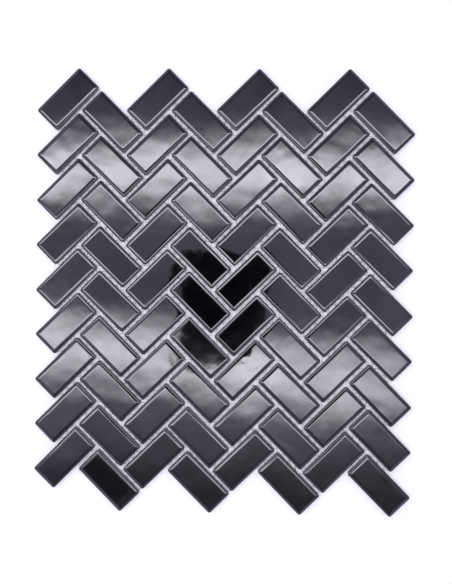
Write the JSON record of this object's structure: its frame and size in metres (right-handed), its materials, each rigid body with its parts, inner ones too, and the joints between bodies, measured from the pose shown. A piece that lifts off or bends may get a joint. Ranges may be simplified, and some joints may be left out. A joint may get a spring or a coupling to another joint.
{
  "type": "herringbone mosaic tile sheet",
  "caption": "Flat sheet of glossy black porcelain chips laid in a 45 degree herringbone on a glued fibreglass net, with stepped edges that interlock with the next sheets.",
  "frame": {"origin": "middle of the sheet's underside, where the net's lowest yarns lie", "axes": "+Z out of the glazed face, +Y along the chip columns towards the sheet's top edge as pictured, +X along the rows to the right as pictured"},
  "size_m": [0.3004, 0.3542, 0.0066],
  "materials": {
    "black_glaze": "gloss",
    "net": "matte"
  },
  "bodies": {
    "root": {"chip_row_1": "black_glaze", "chip_row_2": "black_glaze", "chip_row_3": "black_glaze", "chip_row_4": "black_glaze", "chip_row_5": "black_glaze", "chip_row_6": "black_glaze", "chip_row_7": "black_glaze", "chip_row_8": "black_glaze", "chip_row_9": "black_glaze", "net_warp_yarns": "net", "net_weft_yarns": "net"}
  },
  "joints": []
}
